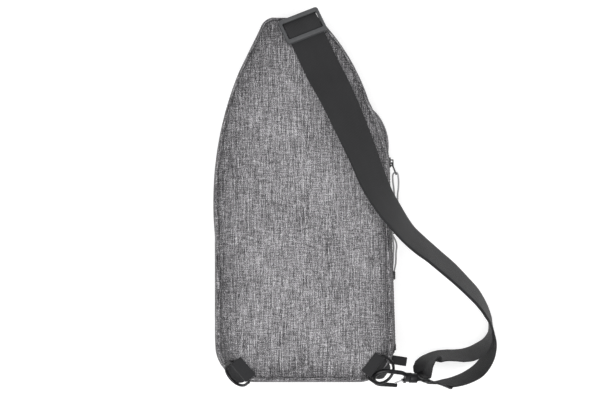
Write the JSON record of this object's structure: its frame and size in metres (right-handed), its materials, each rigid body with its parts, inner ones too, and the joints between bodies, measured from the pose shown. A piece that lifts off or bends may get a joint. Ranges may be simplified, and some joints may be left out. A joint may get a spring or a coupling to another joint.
{
  "type": "sling bag",
  "caption": "Slim single-strap sling bag lying on its front, with a side zip, a front pocket, a webbing strap with a triglide and a swivel hook clipped to a corner D-ring.",
  "frame": {"origin": "on the front face of the pocket that the bag lies on, level with the middle of the bag", "axes": "+X across the bag towards the main zip, +Y from the bottom to the tip, +Z out of the back panel"},
  "size_m": [0.3021, 0.4025, 0.1052],
  "materials": {
    "heather_fabric": "matte slubby plain weave",
    "strap_webbing": "matte ribbed polyester webbing",
    "tab_webbing": "matte black webbing",
    "dark_plastic": "fine satin moulding",
    "black_metal": "semi-gloss black coating",
    "wire_steel": "plain spring wire",
    "foam": "closed-cell foam",
    "lining": "smooth nylon lining",
    "zip_tape": "woven polyester tape",
    "zip_teeth": "nylon coil",
    "cord": "braided grey cord"
  },
  "bodies": {
    "bag": {"back_panel_outer": "heather_fabric", "back_panel_foam": "foam", "back_panel_lining": "lining", "corner_patch_left": "heather_fabric", "corner_patch_right": "heather_fabric", "divider_wall": "heather_fabric", "divider_lining": "lining", "front_lower_panel": "heather_fabric", "front_upper_panel": "heather_fabric", "gusset_bottom": "heather_fabric", "gusset_left": "heather_fabric", "gusset_upper_right": "heather_fabric", "gusset_lining": "lining", "zip_gusset_back_strip": "heather_fabric", "zip_gusset_front_strip": "heather_fabric", "pocket_gusset": "heather_fabric", "pocket_lining": "lining", "main_zip_tape": "zip_tape", "main_zip_teeth": "zip_teeth", "main_zip_stop": "black_metal", "pocket_zip_tape": "zip_tape", "pocket_zip_teeth": "zip_teeth", "pocket_zip_stop": "black_metal", "zip_end_tab": "tab_webbing", "left_ring_tab": "tab_webbing", "right_ring_tab": "tab_webbing", "left_ring_backing": "tab_webbing", "right_ring_backing": "tab_webbing", "strap_outer_layer": "strap_webbing", "strap_return_layer": "strap_webbing", "strap_hook_fold": "strap_webbing"},
    "main_slider": {"main_zip_slider": "black_metal"},
    "main_puller": {"main_zip_puller": "black_metal", "main_pull_cord": "cord", "main_pull_tip": "dark_plastic"},
    "pocket_slider": {"pocket_zip_slider": "black_metal"},
    "pocket_puller": {"pocket_zip_puller": "black_metal", "pocket_pull_cord": "cord", "pocket_pull_tip": "dark_plastic"},
    "left_ring": {"left_d_ring": "black_metal"},
    "right_ring": {"right_d_ring": "black_metal"},
    "eye": {"hook_eye": "black_metal"},
    "hook": {"hook_body": "black_metal"},
    "gate": {"hook_gate": "wire_steel"},
    "triglide": {"triglide_frame": "dark_plastic", "triglide_webbing": "strap_webbing"}
  },
  "joints": [
    {"name": "main_zip_slide", "type": "slide", "parent": "bag", "child": "main_slider", "axis": [0.0327, -0.9995, 0], "range_m": [0, 0.17]},
    {"name": "main_puller_swing", "type": "hinge", "parent": "main_slider", "child": "main_puller", "pos_m": [0.09252, 0.03839, 0.05], "axis": [0, 0, 1], "range_deg": [0, 150]},
    {"name": "pocket_zip_slide", "type": "slide", "parent": "bag", "child": "pocket_slider", "axis": [-1, 0, 0], "range_m": [0, 0.15]},
    {"name": "pocket_puller_swing", "type": "hinge", "parent": "pocket_slider", "child": "pocket_puller", "pos_m": [0.08525, -0.035, 0.0046], "axis": [0, 1, 0], "range_deg": [0, 80]},
    {"name": "left_ring_swing", "type": "hinge", "parent": "bag", "child": "left_ring", "pos_m": [-0.0668, -0.1802, 0.074], "axis": [-0.6537, 0.7567, 0], "range_deg": [0, 140]},
    {"name": "right_ring_swing", "type": "hinge", "parent": "bag", "child": "right_ring", "pos_m": [0.0736, -0.1744, 0.0751], "axis": [-0.6, -0.8, 0], "range_deg": [-3, 3]},
    {"name": "eye_swing", "type": "hinge", "parent": "bag", "child": "eye", "pos_m": [0.12569, -0.1895, 0.05732], "axis": [0.2236, -0.014, 0.9746], "range_deg": [-2, 2]},
    {"name": "hook_swivel", "type": "hinge", "parent": "eye", "child": "hook", "pos_m": [0.1145, -0.1888, 0.0599], "axis": [0.9727, -0.0611, -0.2241], "range_deg": [-5, 5]},
    {"name": "gate_open", "type": "hinge", "parent": "hook", "child": "gate", "pos_m": [0.10335, -0.19113, 0.05943], "axis": [-0.1173, 0.7034, -0.701], "range_deg": [0, 25], "stiffness_Nm_per_rad": 0.002, "springref_deg": -11.46},
    {"name": "triglide_slide", "type": "slide", "parent": "bag", "child": "triglide", "axis": [0.4019, -0.8678, 0.2923], "range_m": [0, 0.03]}
  ]
}
